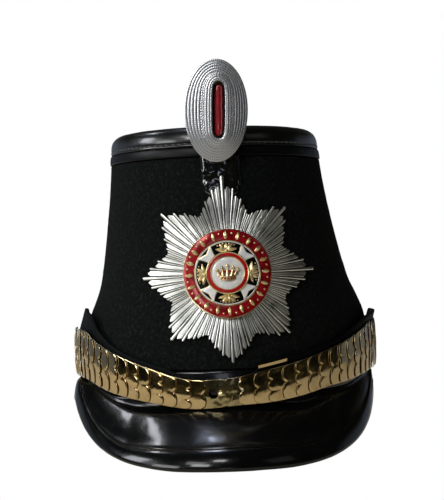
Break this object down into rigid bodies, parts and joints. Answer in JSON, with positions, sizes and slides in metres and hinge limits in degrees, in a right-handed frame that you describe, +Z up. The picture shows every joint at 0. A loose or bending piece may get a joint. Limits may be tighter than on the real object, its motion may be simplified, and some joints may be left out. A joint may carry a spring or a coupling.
{
  "type": "shako",
  "caption": "Tall felt parade shako with leather top and two peaks, rayed star plate with enamel medallion, oval wire cockade and brass chin scales.",
  "frame": {"origin": "middle of the whole hat's footprint, on the surface it stands on", "axes": "+Z up, the front with star and peak faces -Y, +X to the viewer's right when seen from the front"},
  "size_m": [0.1862, 0.278, 0.2236],
  "materials": {
    "felt": "dense black wool felt, matte with fine nap",
    "leather": "black polished leather, smooth and glossy",
    "patent_leather": "black patent leather with fine creases",
    "brass": "polished sheet brass",
    "gilt": "gilded metal, polished",
    "nickel_silver": "nickel silver, struck rays with bright ridges",
    "silver_wire": "silver wire coiled in ridges",
    "red_enamel": "glossy red enamel",
    "black_enamel": "glossy black enamel",
    "white_enamel": "glossy white enamel",
    "black_cloth": "black wool cloth over a metal plate",
    "red_cloth": "red silk cord"
  },
  "bodies": {
    "root": {"base_band": "leather", "cockade_bar": "red_cloth", "cockade_plate": "black_cloth", "cockade_pocket": "patent_leather", "cockade_wire": "silver_wire", "coronet": "gilt", "enamel_band_red": "red_enamel", "enamel_cross_white": "white_enamel", "enamel_field_black": "black_enamel", "enamel_ring_red": "red_enamel", "end_plate_left": "brass", "end_plate_right": "brass", "felt_crown": "felt", "keeper_bar": "brass", "leaf_ring": "gilt", "leather_top": "leather", "medallion_base": "gilt", "scale_left_01": "brass", "scale_left_02": "brass", "scale_left_03": "brass", "scale_left_04": "brass", "scale_left_05": "brass", "scale_left_06": "brass", "scale_left_07": "brass", "scale_left_08": "brass", "scale_left_09": "brass", "scale_left_10": "brass", "scale_left_11": "brass", "scale_left_12": "brass", "scale_left_13": "brass", "scale_left_14": "brass", "scale_left_15": "brass", "scale_left_16": "brass", "scale_left_17": "brass", "scale_right_01": "brass", "scale_right_02": "brass", "scale_right_03": "brass", "scale_right_04": "brass", "scale_right_05": "brass", "scale_right_06": "brass", "scale_right_07": "brass", "scale_right_08": "brass", "scale_right_09": "brass", "scale_right_10": "brass", "scale_right_11": "brass", "scale_right_12": "brass", "scale_right_13": "brass", "scale_right_14": "brass", "scale_right_15": "brass", "scale_right_16": "brass", "scale_right_17": "brass", "side_button_left": "brass", "side_button_right": "brass", "star_plate": "nickel_silver", "strap_leather_left": "leather", "strap_leather_right": "leather", "top_band": "leather", "visor_front": "leather", "visor_rear": "leather"}
  },
  "joints": []
}
